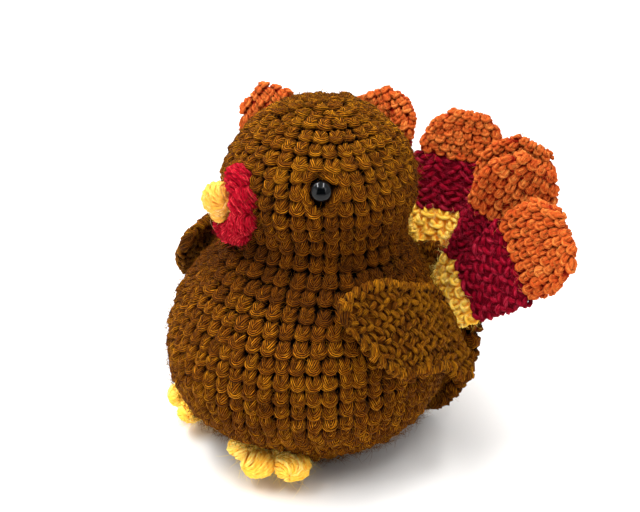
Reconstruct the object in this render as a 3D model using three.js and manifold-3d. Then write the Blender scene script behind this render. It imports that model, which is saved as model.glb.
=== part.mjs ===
// A crocheted, stuffed turkey figure that sits on the floor, in millimetres, with Z up.
// It faces -Y and its own left is +X. The floor is the plane z = 0.
import * as THREE from "three";
import { mergeVertices } from "three/addons/utils/BufferGeometryUtils.js";
import Module from "manifold-3d";

const wasm = await Module();
wasm.setup();

// Shared by every piece.
const clearance = 0.3;
const fabricThickness = 4.5;
const overrun = 20;
const degree = Math.PI / 180;
const nothing = 0;

// The body and the head are one pear shape, given ring by ring from the floor up.
const figureHeight = 109;
const bodyRadius = 40.6;
const headRadius = 27.2;
const headBackset = 6;
const ringFacets = 40;
// Heights are shares of figureHeight and radii shares of bodyRadius.
const bodyHeightShares = [
  0, 0.011, 0.046, 0.101, 0.166, 0.23, 0.295, 0.368, 0.442, 0.506, 0.562, 0.608, 0.645,
];
const bodyRadiusShares = [
  0.25, 0.33, 0.5, 0.712, 0.87, 0.96, 0.997, 0.993, 0.944, 0.866, 0.769, 0.676, 0.623,
];
// Above the neck the radii are shares of headRadius.
const headHeightShares = [0.681, 0.718, 0.764, 0.81, 0.866, 0.916, 0.958, 0.985, 1];
const headRadiusShares = [0.92, 0.962, 1, 0.986, 0.91, 0.775, 0.587, 0.37, 0.04];
// How far back each ring sits, as a share of headBackset.
const bodyBacksetShares = [
  -0.15, -0.15, -0.15, -0.14, -0.12, -0.09, -0.03, 0.05, 0.17, 0.34, 0.55, 0.75, 0.88,
];
const headBacksetShares = [0.95, 0.98, 1, 1, 1, 1, 1, 1, 1];
// Where the cover is parted and where the middle of the head is, up the figure.
const neckShare = 0.665;
const headMiddleShare = 0.7486;
const neckHeight = figureHeight * neckShare;
const headMiddle = figureHeight * headMiddleShare;

// The face and the feet are turned a little to the figure's right.
const faceTurn = -9;

// Safety eyes: a dome on a stalk that goes through the fabric into a washer.
const eye = {
  radius: 3,
  rise: 2.4,
  rim: 0.5,
  stalkRadius: 1.1,
  stalkTip: 0.9,
  bearing: 66,
  elevation: 22,
  recess: 1.1,
  facets: 28,
};
// How far up the dome each of its rings is.
const domeShares = [0.45, 0.75, 0.95];
const washer = { radius: 4.5, thickness: 1.4 };

// The beak is one yellow bobble.
const beak = {
  length: 11,
  halfWidth: 4.6,
  halfHeight: 5.6,
  elevation: 3.5,
  sink: 1.2,
};

// The red strip runs in a C round the left of the beak, in bobbles.
const snood = {
  bobbles: 5,
  bobbleRadius: 3.7,
  waist: 2.7,
  sweepRadius: 9,
  startAngle: 118,
  sweepAngle: 196,
  standoff: 1.9,
};

// Feet: three toes on a small pad. The right foot is sewn further out than the left.
const foot = {
  toeLength: 12.5,
  toeHalfWidth: 4.4,
  toeHalfHeight: 3,
  padRadius: 7,
};
// How far each toe is turned from the foot's own bearing, and how long and wide it is as
// shares of the sizes above.
const toes = [
  { turn: -72, lengthShare: 1.2, widthShare: 0.72 },
  { turn: 0, lengthShare: 0.96, widthShare: 1.1 },
  { turn: 56, lengthShare: 1.22, widthShare: 1.1 },
];
// Reach is a share of bodyRadius and lift a share of figureHeight.
const leftFoot = { side: 1, bearing: 27, reachShare: 0.42, liftShare: 0.023 };
const rightFoot = { side: -1, bearing: -56, reachShare: 0.8, liftShare: 0.04 };

// Wings: flat two-layer flaps, sewn along their top edge.
const wing = {
  seamLength: 42,
  drop: 27,
  halfThickness: 2.3,
  bulge: 5.6,
  inset: 2,
};
// Outward and back are shares of bodyRadius, and up is a share of figureHeight.
const wingSeamFrontShares = [0.862, -0.2956, 0.5826];
const wingSeamBackShares = [0.665, 0.7389, 0.5];
const wingTipShares = [1.0468, 0.8005, 0.2844];
// How far each wing is turned about the body from the places above. The right wing is
// sewn further forward and a little higher than the left one.
const leftWingTurn = 5;
const rightWingTurn = 16;
const rightWingRiseShare = 0.0037;
// Along the seam, then how far down the flap starts and ends, as shares of the drop.
const wingAlongShares = [0, 0.06, 0.2, 0.36, 0.5, 0.64, 0.79, 0.93, 1.07, 1.16];
const wingStartShares = [0, -0.1, -0.14, -0.12, -0.05, -0.02, 0, 0.03, 0.15, 0.5];
const wingEndShares = [0.16, 0.42, 0.72, 0.86, 0.83, 0.88, 0.88, 1.01, 1.03, 0.8];

// Tail: a flat oval disc behind the body with seven feathers sewn in front of it.
const disc = {
  halfWidth: 22.8,
  halfHeight: 27.5,
  halfThickness: 2.3,
  roundness: 1.6,
};
const tailLift = 0.8;
const tailTurn = 12;
const tailLean = 12;
const feather = {
  length: 49,
  halfThickness: 2.1,
  rootHalfWidth: 5.4,
  bandHalfWidth: 8.6,
  tipHalfWidth: 12.6,
  rootLength: 9.5,
  bandLength: 18.3,
};
// One row for each feather from the right side to the left: its angle from upright and
// its roll, where its root is as a share of the disc's half height, how long its root and
// band are, how long its tip is and how wide it is as shares of the usual feather, and how
// far its root and its tip stand in front of the disc's middle, as shares of its half
// thickness. They were worked by hand and no two are alike.
const feathers = [
  { angle: -55.8, roll: 5, rootShare: 1.386, shares: [1.08, 1.3, 1.08], frontShares: [3.81, 3.81] },
  { angle: -43, roll: 5, rootShare: 0.98, shares: [1.05, 0.95, 1], frontShares: [1.43, 1.43] },
  { angle: -29.9, roll: 5, rootShare: 0.94, shares: [1.1, 0.887, 1.08], frontShares: [-1.05, -1.24] },
  { angle: -4.3, roll: 36, rootShare: 1, shares: [0.886, 0.68, 0.966], frontShares: [-1.43, -4.29] },
  { angle: 23.3, roll: 32, rootShare: 0.841, shares: [0.99, 1.037, 0.952], frontShares: [0.43, -0.29] },
  { angle: 29.8, roll: 34, rootShare: 0.691, shares: [1.035, 1.14, 1], frontShares: [2.1, 2] },
  { angle: 48.8, roll: -4, rootShare: 0.623, shares: [1.138, 1.052, 1.13], frontShares: [3.81, 4.38] },
];

// A smooth curve through a table of values.
function smooth(values, at) {
  const last = values.length - 1;
  const i = Math.min(Math.floor(at), last - 1);
  const u = at - i;
  const [a, b, c, d] = [i - 1, i, i + 1, i + 2].map(
    (k) => values[Math.max(0, Math.min(last, k))],
  );
  return (
    0.5 *
    (2 * b + (c - a) * u + (2 * a - 5 * b + 4 * c - d) * u * u + (3 * b - a - 3 * c + d) * u ** 3)
  );
}

function solidFrom(geometry) {
  geometry.deleteAttribute("normal");
  geometry.deleteAttribute("uv");
  const merged = mergeVertices(geometry, 1e-4);
  return new wasm.Manifold(
    new wasm.Mesh({
      numProp: 3,
      vertProperties: merged.attributes.position.array,
      triVerts: new Uint32Array(merged.index.array),
    }),
  );
}

// A closed body through a row of rings. A ring is { along, low, high, half }: it spans
// low to high one way and half to each side the other way. blunt above 2 squares it off.
function loft(rings, facets, place, blunt = 2) {
  const positions = [];
  const point = (ring, k) => {
    const turn = (2 * Math.PI * k) / facets;
    const bend = (v) => Math.sign(v) * Math.abs(v) ** (2 / blunt);
    const across =
      (ring.low + ring.high) / 2 + ((ring.high - ring.low) / 2) * bend(Math.cos(turn));
    return place(ring.along, across, ring.half * bend(Math.sin(turn)));
  };
  const middle = (ring) => place(ring.along, (ring.low + ring.high) / 2, nothing);
  const face = (...corners) => corners.forEach((c) => positions.push(c.x, c.y, c.z));
  const first = rings[0];
  const last = rings[rings.length - 1];
  for (let k = 0; k < facets; k++) {
    face(middle(first), point(first, k + 1), point(first, k));
    face(middle(last), point(last, k), point(last, k + 1));
    for (let i = 0; i + 1 < rings.length; i++) {
      const [a, b] = [rings[i], rings[i + 1]];
      face(point(a, k), point(a, k + 1), point(b, k + 1));
      face(point(a, k), point(b, k + 1), point(b, k));
    }
  }
  const geometry = new THREE.BufferGeometry();
  geometry.setAttribute("position", new THREE.Float32BufferAttribute(positions, 3));
  const made = solidFrom(geometry);
  if (made.volume() > 0) return made;
  for (let i = 0; i < positions.length; i += 9)
    for (let j = 0; j < 3; j++)
      [positions[i + 3 + j], positions[i + 6 + j]] = [positions[i + 6 + j], positions[i + 3 + j]];
  const turned = new THREE.BufferGeometry();
  turned.setAttribute("position", new THREE.Float32BufferAttribute(positions, 3));
  return solidFrom(turned);
}

// Round pieces given as [radius, height] along an axis.
function turnedPiece(profile, facets, place) {
  const rings = profile.map(([r, along]) => ({ along, low: -r, high: r, half: r }));
  return loft(rings, facets, place);
}

// The pear shape, moved outward by grow (inward where it is below 0).
function figureSolid(grow) {
  const rings = [];
  const heights = bodyHeightShares.concat(headHeightShares).map((s) => s * figureHeight);
  const radii = bodyRadiusShares
    .map((s) => s * bodyRadius)
    .concat(headRadiusShares.map((s) => s * headRadius));
  const backs = bodyBacksetShares.concat(headBacksetShares).map((s) => s * headBackset);
  const count = heights.length;
  for (let i = 0; i < count; i++) {
    const [below, above] = [Math.max(0, i - 1), Math.min(count - 1, i + 1)];
    const slope = new THREE.Vector2(
      heights[above] - heights[below],
      radii[below] - radii[above],
    ).normalize();
    const end = i === 0 ? -1 : i === count - 1 ? 1 : slope.y;
    const side = i === count - 1 ? 0 : slope.x;
    const r = Math.max(radii[i] + grow * side, clearance);
    rings.push({ along: heights[i] + grow * end, low: backs[i] - r, high: backs[i] + r, half: r });
  }
  const kept = rings.filter((ring, i) => i === 0 || ring.along > rings[i - 1].along + clearance);
  return loft(kept, ringFacets, (up, across, out) => new THREE.Vector3(out, across, up));
}

const figureOuter = figureSolid(0);
const figureClear = figureSolid(clearance);
const figureInner = figureSolid(-fabricThickness);
const figureFill = figureSolid(-fabricThickness - clearance);

// How far the surface of the head is from its middle, elevation degrees up.
function headReach(elevation) {
  const heights = headHeightShares.map((s) => s * figureHeight);
  const radii = headRadiusShares.map((s) => s * headRadius);
  let reach = headRadius;
  for (let tries = 0; tries < 20; tries++) {
    const up = headMiddle + reach * Math.sin(elevation * degree);
    const i = Math.max(1, heights.findIndex((h) => h > up));
    const share = (up - heights[i - 1]) / (heights[i] - heights[i - 1]);
    reach = (radii[i - 1] + share * (radii[i] - radii[i - 1])) / Math.cos(elevation * degree);
  }
  return reach;
}

// A place on the head, bearing degrees to the left of straight ahead.
function headFrame(bearing, elevation) {
  const reach = headReach(elevation);
  const [b, e] = [(bearing + faceTurn) * degree, elevation * degree];
  const out = new THREE.Vector3(
    Math.sin(b) * Math.cos(e),
    -Math.cos(b) * Math.cos(e),
    Math.sin(e),
  );
  const side = new THREE.Vector3(Math.cos(b), Math.sin(b), 0);
  const up = new THREE.Vector3().crossVectors(out, side).negate();
  const centre = new THREE.Vector3(0, headBackset, headMiddle);
  return (along, across, raise) =>
    centre
      .clone()
      .addScaledVector(out, reach + along)
      .addScaledVector(side, across)
      .addScaledVector(up, raise);
}

function eyePieces(side) {
  const place = headFrame(side * eye.bearing, eye.elevation);
  // The flat washer's rim meets the curved fabric first.
  const inside = headReach(eye.elevation) - fabricThickness;
  const sag = inside - Math.sqrt(inside ** 2 - washer.radius ** 2);
  const washerFront = -fabricThickness - clearance - sag;
  const back = -eye.recess;
  const profile = [
    [eye.stalkTip, washerFront - washer.thickness - eye.rise],
    [eye.stalkRadius, washerFront - washer.thickness - eye.rim],
    [eye.stalkRadius, back],
    [eye.radius, back],
    [eye.radius, back + eye.rim],
  ];
  for (const s of domeShares)
    profile.push([eye.radius * Math.sqrt(1 - s ** 3), back + eye.rim + eye.rise * s]);
  const solid = turnedPiece(profile, eye.facets, place);
  const hole = turnedPiece(
    [
      [eye.stalkRadius + clearance, -overrun],
      [eye.stalkRadius + clearance, overrun],
    ],
    eye.facets,
    place,
  );
  const seat = turnedPiece(
    [
      [eye.radius + clearance, back - clearance],
      [eye.radius + 2 * clearance, overrun],
    ],
    eye.facets,
    place,
  );
  const ring = turnedPiece(
    [
      [washer.radius, washerFront - washer.thickness],
      [washer.radius, washerFront],
    ],
    eye.facets,
    place,
  ).subtract(hole);
  const pocket = turnedPiece(
    [
      [washer.radius + clearance, washerFront - washer.thickness - clearance],
      [washer.radius + clearance, overrun],
    ],
    eye.facets,
    place,
  ).add(
    turnedPiece(
      [
        [
          eye.stalkRadius + clearance,
          washerFront - washer.thickness - eye.rise - clearance,
        ],
        [eye.stalkRadius + clearance, overrun],
      ],
      eye.facets,
      place,
    ),
  );
  return { solid, hole, seat, ring, pocket };
}

// The C of the red strip, seen from the front: across is to the figure's left.
function snoodPath(share) {
  const angle = (snood.startAngle - snood.sweepAngle * share) * degree;
  return [snood.sweepRadius * Math.cos(angle), snood.sweepRadius * Math.sin(angle)];
}

function snoodSolid(grow) {
  const place = headFrame(0, beak.elevation);
  const rings = [];
  const steps = snood.bobbles * 6;
  for (let i = 0; i <= steps; i++) {
    const share = i / steps;
    const wave = Math.abs(Math.sin(Math.PI * snood.bobbles * share)) ** 0.7;
    const end = Math.min(1, Math.sin(Math.PI * Math.min(1, share * snood.bobbles)) + 1);
    const full = snood.waist + (snood.bobbleRadius - snood.waist) * wave;
    const atEnd = i === 0 || i === steps ? 0.35 : i === 1 || i === steps - 1 ? 0.75 : end;
    const half = full * atEnd + grow;
    rings.push({ along: share, low: -half, high: half, half });
  }
  return loft(rings, 12, (share, across, out) => {
    const [x, y] = snoodPath(share);
    const [x2, y2] = snoodPath(share + 0.001);
    const tangent = new THREE.Vector2(x2 - x, y2 - y).normalize();
    const [px, py] = [x + tangent.y * across, y - tangent.x * across];
    const away = Math.hypot(x, y);
    const dip = headRadius - Math.sqrt(headRadius ** 2 - away ** 2);
    return place(snood.standoff - dip + out, px, py);
  });
}

function beakSolid(grow) {
  const place = headFrame(0, beak.elevation);
  const stepShares = [0, 0.06, 0.2, 0.4, 0.6, 0.78, 0.91, 0.98, 1];
  const widthShares = [0.8, 0.9, 0.98, 1, 0.96, 0.84, 0.6, 0.32, 0.08];
  const rings = stepShares.map((s, i) => {
    const half = beak.halfWidth * widthShares[i] + grow;
    const tall = beak.halfHeight * widthShares[i] + grow;
    const along = -beak.sink + beak.length * s + (s === 1 ? grow : 0);
    return { along, low: -half, high: half, half: tall };
  });
  return loft(rings, 20, (along, across, up) => place(along, across, up));
}

// A foot lies on the floor in front of the body, with its toes spread.
function footSolid(spot) {
  const bearing = spot.bearing * degree;
  const reach = spot.reachShare * bodyRadius;
  const centre = new THREE.Vector3(
    Math.sin(bearing) * reach,
    -Math.cos(bearing) * reach,
    foot.toeHalfHeight,
  );
  const toe = (row) => {
    const turn = bearing + spot.side * row.turn * degree;
    const length = foot.toeLength * row.lengthShare;
    const halfWidth = foot.toeHalfWidth * row.widthShare;
    const ahead = new THREE.Vector3(Math.sin(turn), -Math.cos(turn), 0);
    const sideways = new THREE.Vector3(Math.cos(turn), Math.sin(turn), 0);
    const stepShares = [0, 0.15, 0.4, 0.65, 0.85, 1];
    const widthShares = [0.7, 0.9, 0.85, 1, 0.8, 0.25];
    const rings = stepShares.map((s, i) => ({
      along: length * s,
      low: -halfWidth * widthShares[i],
      high: halfWidth * widthShares[i],
      half: foot.toeHalfHeight * Math.min(1, widthShares[i] + 0.1),
    }));
    return loft(
      rings,
      14,
      (along, across, up) =>
        centre
          .clone()
          .addScaledVector(ahead, along)
          .addScaledVector(sideways, across)
          .add(new THREE.Vector3(0, 0, up)),
      2.6,
    );
  };
  const pad = turnedPiece(
    [
      [foot.padRadius * 0.8, -foot.toeHalfHeight],
      [foot.padRadius, 0],
      [foot.padRadius * 0.75, foot.toeHalfHeight],
    ],
    20,
    (along, across, out) => centre.clone().add(new THREE.Vector3(across, out, along)),
  );
  const floor = foot.toeHalfHeight * 0.12;
  return toes
    .reduce((made, row) => made.add(toe(row)), pad)
    .trimByPlane([0, 0, 1], floor)
    .translate([0, 0, spot.liftShare * figureHeight - floor])
    .subtract(figureClear);
}

// The left wing's own directions: along its seam, down the flap and outward.
const onFigure = ([outward, back, up]) =>
  new THREE.Vector3(outward * bodyRadius, back * bodyRadius, up * figureHeight);
const seamFront = onFigure(wingSeamFrontShares);
const seamBack = onFigure(wingSeamBackShares);
const wingTip = onFigure(wingTipShares);
const seamWay = seamBack.clone().sub(seamFront).normalize();
const flapDown = wingTip.clone().sub(seamFront);
flapDown.addScaledVector(seamWay, -flapDown.dot(seamWay)).normalize();
const flapOut = new THREE.Vector3().crossVectors(flapDown, seamWay).normalize();

function wingSolid(side) {
  const steps = 27;
  const last = wingAlongShares.length - 1;
  const rings = [];
  for (let i = 0; i <= steps; i++) {
    const at = (i / steps) * last;
    const low = smooth(wingStartShares, at) * wing.drop;
    const high = smooth(wingEndShares, at) * wing.drop;
    const nearEnd = Math.min(1, Math.sin((Math.PI * Math.min(i, steps - i)) / 6 + 0.25));
    const half = i >= 3 && i <= steps - 3 ? wing.halfThickness : wing.halfThickness * nearEnd;
    rings.push({ along: smooth(wingAlongShares, at) * wing.seamLength, low, high, half });
  }
  const turn = (side > 0 ? leftWingTurn : rightWingTurn) * degree;
  const rise = side > 0 ? 0 : rightWingRiseShare * figureHeight;
  return loft(
    rings,
    20,
    (along, down, out) => {
      const share = along / wing.seamLength;
      const bow = 1 - (2 * share - 1) ** 2;
      const fade = Math.max(0, 1 - down / wing.drop);
      const spot = seamFront
        .clone()
        .addScaledVector(seamWay, along)
        .addScaledVector(flapDown, down)
        .addScaledVector(flapOut, wing.bulge * bow * (0.25 + 0.75 * fade) - wing.inset + out);
      spot.x *= side;
      spot.applyAxisAngle(new THREE.Vector3(0, 0, 1), turn);
      spot.z += rise;
      return spot;
    },
    2.6,
  ).subtract(figureClear);
}

// The plane of the tail: centre, right, up and forward.
const tailAcross = new THREE.Vector3(Math.cos(tailTurn * degree), Math.sin(tailTurn * degree), 0);
const tailBackward = new THREE.Vector3(-tailAcross.y, tailAcross.x, 0);
const tailUp = new THREE.Vector3(0, 0, Math.cos(tailLean * degree)).addScaledVector(
  tailBackward,
  Math.sin(tailLean * degree),
);
const tailFront = new THREE.Vector3().crossVectors(tailAcross, tailUp);
const discReach = disc.halfHeight * Math.cos(tailLean * degree);
const tailCentre = new THREE.Vector3(0, bodyRadius + disc.halfThickness, discReach + tailLift);

function discSolid() {
  const { halfWidth, halfHeight, halfThickness, roundness } = disc;
  const rings = [
    [roundness, -halfThickness],
    [0, -halfThickness / 3],
    [0, halfThickness / 3],
    [roundness, halfThickness],
  ].map(([inward, along]) => ({
    along,
    low: inward - halfWidth,
    high: halfWidth - inward,
    half: halfHeight - inward,
  }));
  return loft(rings, 40, (along, across, up) =>
    tailCentre
      .clone()
      .addScaledVector(tailFront, along)
      .addScaledVector(tailAcross, across)
      .addScaledVector(tailUp, up),
  ).subtract(figureClear);
}

// Half the width of a feather at a distance from its root.
function featherHalfWidth(distance) {
  const { length, rootLength, bandLength, rootHalfWidth, bandHalfWidth, tipHalfWidth } = feather;
  const tipStart = rootLength + bandLength;
  if (distance < rootLength)
    return rootHalfWidth + ((bandHalfWidth - rootHalfWidth) * distance) / rootLength / 2;
  const bandShare = Math.min(1, (distance - rootLength) / bandLength);
  const atBand = (rootHalfWidth + bandHalfWidth) / 2;
  if (distance <= tipStart) return atBand + (bandHalfWidth * 1.12 - atBand) * bandShare;
  const share = (distance - tipStart) / (length - tipStart);
  const swell = 1 - (1 - Math.min(1, share / 0.4)) ** 2;
  const wide = bandHalfWidth * 1.12 + (tipHalfWidth - bandHalfWidth * 1.12) * swell;
  const close = share < 0.4 ? 1 : Math.sqrt(Math.max(0, 1 - ((share - 0.4) / 0.6) ** 2.4));
  return Math.max(wide * close, feather.halfThickness);
}

function featherSection(row, from, to, grow = 0) {
  const [lengthShare, tipShare, widthShare] = row.shares;
  const tipStart = feather.rootLength + feather.bandLength;
  const reach = (along) =>
    Math.min(along, tipStart) * lengthShare + Math.max(0, along - tipStart) * tipShare;
  const turn = row.angle * degree;
  const axis = tailAcross
    .clone()
    .multiplyScalar(Math.sin(turn))
    .addScaledVector(tailUp, Math.cos(turn));
  const flat = tailAcross
    .clone()
    .multiplyScalar(Math.cos(turn))
    .addScaledVector(tailUp, -Math.sin(turn));
  const roll = row.roll * degree;
  const across = flat
    .clone()
    .multiplyScalar(Math.cos(roll))
    .addScaledVector(tailFront, -Math.sin(roll));
  const normal = tailFront
    .clone()
    .multiplyScalar(Math.cos(roll))
    .addScaledVector(flat, Math.sin(roll));
  const [rootFront, tipFront] = row.frontShares.map((s) => s * feather.halfThickness);
  const rings = [];
  const steps = to < feather.length ? 4 : 8;
  for (let i = 0; i <= steps; i++) {
    const along = from + ((to - from) * i) / steps;
    const half = featherHalfWidth(along) * widthShare;
    const end = feather.length - along;
    const thick = feather.halfThickness * Math.min(1, 0.35 + end / feather.halfThickness / 3);
    rings.push({ along, low: -half - grow, high: half + grow, half: thick + grow });
  }
  return loft(
    rings,
    16,
    (along, sideways, out) => {
      const share = along / feather.length;
      return tailCentre
        .clone()
        .addScaledVector(axis, row.rootShare * disc.halfHeight + reach(along))
        .addScaledVector(tailFront, rootFront + (tipFront - rootFront) * share)
        .addScaledVector(across, sideways)
        .addScaledVector(normal, out);
    },
    2.4,
  );
}

// Materials.
const brownYarn = new THREE.MeshStandardMaterial({ color: 0x8a5216, roughness: 0.95 });
const orangeYarn = new THREE.MeshStandardMaterial({ color: 0xd9601c, roughness: 0.95 });
const redYarn = new THREE.MeshStandardMaterial({ color: 0x6e0820, roughness: 0.95 });
const goldYarn = new THREE.MeshStandardMaterial({ color: 0xe0a02a, roughness: 0.95 });
const yellowYarn = new THREE.MeshStandardMaterial({ color: 0xf6c452, roughness: 0.95 });
const scarletYarn = new THREE.MeshStandardMaterial({ color: 0xc8172f, roughness: 0.95 });
const blackPlastic = new THREE.MeshStandardMaterial({ color: 0x0b0c0f, roughness: 0.12 });
const whitePlastic = new THREE.MeshStandardMaterial({ color: 0xe8e8e4, roughness: 0.5 });
const fibrefill = new THREE.MeshStandardMaterial({ color: 0xf4f2ec, roughness: 1 });

const turkey = new THREE.Group();

function addPiece(name, solid, material) {
  const made = solid.getMesh();
  const geometry = new THREE.BufferGeometry();
  const positions = new Float32Array(made.numVert * 3);
  for (let i = 0; i < made.numVert; i++)
    for (let j = 0; j < 3; j++)
      positions[3 * i + j] = made.vertProperties[made.numProp * i + j];
  geometry.setAttribute("position", new THREE.BufferAttribute(positions, 3));
  geometry.setIndex(new THREE.BufferAttribute(new Uint32Array(made.triVerts), 1));
  geometry.computeVertexNormals();
  const mesh = new THREE.Mesh(geometry, material);
  mesh.name = name;
  turkey.add(mesh);
}

// The cover is one shell, parted at the neck.
const leftEye = eyePieces(1);
const rightEye = eyePieces(-1);
const cover = figureOuter
  .subtract(figureInner)
  .subtract(leftEye.hole)
  .subtract(rightEye.hole)
  .subtract(leftEye.seat)
  .subtract(rightEye.seat);
addPiece("body_cover", cover.trimByPlane([0, 0, -1], -(neckHeight - clearance / 2)), brownYarn);
addPiece("head_cover", cover.trimByPlane([0, 0, 1], neckHeight + clearance / 2), brownYarn);
addPiece("stuffing", figureFill.subtract(leftEye.pocket).subtract(rightEye.pocket), fibrefill);
addPiece("eye_left", leftEye.solid, blackPlastic);
addPiece("eye_right", rightEye.solid, blackPlastic);
addPiece("eye_washer_left", leftEye.ring.intersect(figureFill), whitePlastic);
addPiece("eye_washer_right", rightEye.ring.intersect(figureFill), whitePlastic);
addPiece("beak", beakSolid(0).subtract(figureClear), yellowYarn);
addPiece(
  "snood",
  snoodSolid(0).subtract(figureClear).subtract(beakSolid(clearance)),
  scarletYarn,
);
addPiece("wing_left", wingSolid(1), brownYarn);
addPiece("wing_right", wingSolid(-1), brownYarn);
addPiece("foot_left", footSolid(leftFoot), yellowYarn);
addPiece("foot_right", footSolid(rightFoot), yellowYarn);
// The roots of the feathers are sewn down into the face of the disc.
const rootClear = feathers.map((row) =>
  featherSection(row, -clearance, feather.rootLength + clearance, clearance),
);
addPiece(
  "tail_disc",
  rootClear.reduce((made, root) => made.subtract(root), discSolid()),
  brownYarn,
);
feathers.forEach((row, i) => {
  const name = "feather_" + (i + 1);
  const bandStart = feather.rootLength;
  const tipStart = bandStart + feather.bandLength;
  addPiece(name + "_root", featherSection(row, 0, bandStart), goldYarn);
  addPiece(name + "_band", featherSection(row, bandStart + clearance, tipStart), redYarn);
  addPiece(
    name + "_tip",
    featherSection(row, tipStart + clearance, feather.length),
    orangeYarn,
  );
});

export default turkey;
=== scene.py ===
import math

import bpy
import numpy as np
from mathutils import Matrix, Vector


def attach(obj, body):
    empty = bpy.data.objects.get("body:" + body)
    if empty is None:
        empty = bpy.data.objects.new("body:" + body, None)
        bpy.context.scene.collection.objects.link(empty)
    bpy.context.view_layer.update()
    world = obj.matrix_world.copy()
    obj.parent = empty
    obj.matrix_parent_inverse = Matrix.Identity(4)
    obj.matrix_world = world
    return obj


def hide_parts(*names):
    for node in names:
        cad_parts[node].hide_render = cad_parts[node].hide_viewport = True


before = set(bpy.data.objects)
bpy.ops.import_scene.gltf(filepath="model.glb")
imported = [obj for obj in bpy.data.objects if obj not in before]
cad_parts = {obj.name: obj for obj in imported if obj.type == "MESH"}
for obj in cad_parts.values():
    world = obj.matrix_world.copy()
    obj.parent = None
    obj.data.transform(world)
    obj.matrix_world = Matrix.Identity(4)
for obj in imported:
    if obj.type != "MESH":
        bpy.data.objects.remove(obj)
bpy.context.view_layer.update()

print("packed model loaded")

# Sizes below are millimetres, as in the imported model, and go to metres where a mesh is made.
metre = 0.001
fullTurn = 2 * math.pi

# The camera stands where the photograph was taken from.
view = {
    "azimuth": 57, "elevation": 25, "distance": 600, "focalPixels": 1980, "imageWidth": 640,
    "sensor": 36, "aimRight": 4.697, "aimUp": 56.27,
}


def addObject(name, data):
    made = bpy.data.objects.new(name, data)
    bpy.context.scene.collection.objects.link(made)
    return made


def placeCamera():
    a, e = math.radians(view["azimuth"]), math.radians(view["elevation"])
    back = Vector((math.sin(a) * math.cos(e), -math.cos(a) * math.cos(e), math.sin(e)))
    right = Vector((math.cos(a), math.sin(a), 0))
    up = back.cross(right)
    camera = addObject("camera", bpy.data.cameras.new("camera"))
    camera.data.sensor_width = view["sensor"]
    camera.data.lens = view["focalPixels"] * view["sensor"] / view["imageWidth"]
    camera.data.clip_start, camera.data.clip_end = 0.01, 20
    aim = right * view["aimRight"] + up * view["aimUp"]
    turned = Matrix((right, up, back)).transposed().to_4x4()
    camera.matrix_world = Matrix.Translation((aim + back * view["distance"]) * metre) @ turned
    bpy.context.scene.camera = camera


placeCamera()
bpy.context.scene.view_settings.view_transform = "Standard"
print("camera placed")


# Colours are written as sRGB hex and turned to linear here.
def linear(hexColour):
    parts = [int(hexColour[i:i + 2], 16) / 255 for i in (1, 3, 5)]
    return tuple(c / 12.92 if c <= 0.04045 else ((c + 0.055) / 1.055) ** 2.4 for c in parts) + (1.0,)


# Adds a shader node, sets its properties and sockets, and links sockets given as outputs.
def addNode(tree, kind, settings=None, **sockets):
    node = tree.nodes.new("ShaderNode" + kind)
    for key, value in (settings or {}).items():
        setattr(node, key, value)
    for key, value in sockets.items():
        socket = node.inputs[int(key[1:]) if key[0] == "i" and key[1:].isdigit() else key.replace("_", " ")]
        if isinstance(value, bpy.types.NodeSocket):
            tree.links.new(value, socket)
        else:
            socket.default_value = value
    return node


def addMaths(tree, operation, *values):
    sockets = {f"i{index}": value for index, value in enumerate(values)}
    return addNode(tree, "Math", {"operation": operation}, **sockets).outputs["Value"]


# The shader that gives a solid surface, and the output it goes to.
def addSurface(tree, **sockets):
    surface = addNode(tree, "BsdfPrincipled", **sockets)
    addNode(tree, "OutputMaterial", Surface=surface.outputs["BSDF"])


def newMaterial(name):
    material = bpy.data.materials.new(name)
    material.use_nodes = True
    material.node_tree.nodes.clear()
    return material, material.node_tree


def setRamp(ramp, stops):
    elements = ramp.color_ramp.elements
    while len(elements) > 1:
        elements.remove(elements[-1])
    elements[0].position, elements[0].color = stops[0]
    for position, colour in stops[1:]:
        elements.new(position).color = colour
    return ramp


# Worsted acrylic yarn, plies twisted together and hooked into stitches: matt and soft. Painted shade
# darkens the grooves between plies, and where the raise attribute is low the colour fades to a nearly
# black painted shade colour, down in the holes between stitches.
# The U of each strand's map is its length in mm and the V goes once round it.
yarn = {
    # A ply is 0.5 mm across, so twelve go round the strand.
    "plies": 12, "wander": 2.4, "lineFrom": -0.3, "lineTo": 0.6, "lineDistance": 0.00022,
    # Fibres are about 0.02 mm across, too fine to show, so eight are drawn round the strand.
    "fibresAlong": 0.5, "fibresRound": 8, "fibreShare": 1.1, "patchScale": 200.0, "patchShare": 0.2,
    "stops": (0.42, 0.66, 0.84), "hollowFrom": 0.1, "hollowTo": 0.8,
    "roughness": 0.85, "ior": 1.5, "specular": 0.05, "sheen": 0.04, "sheenRoughness": 0.5,
}


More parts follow.
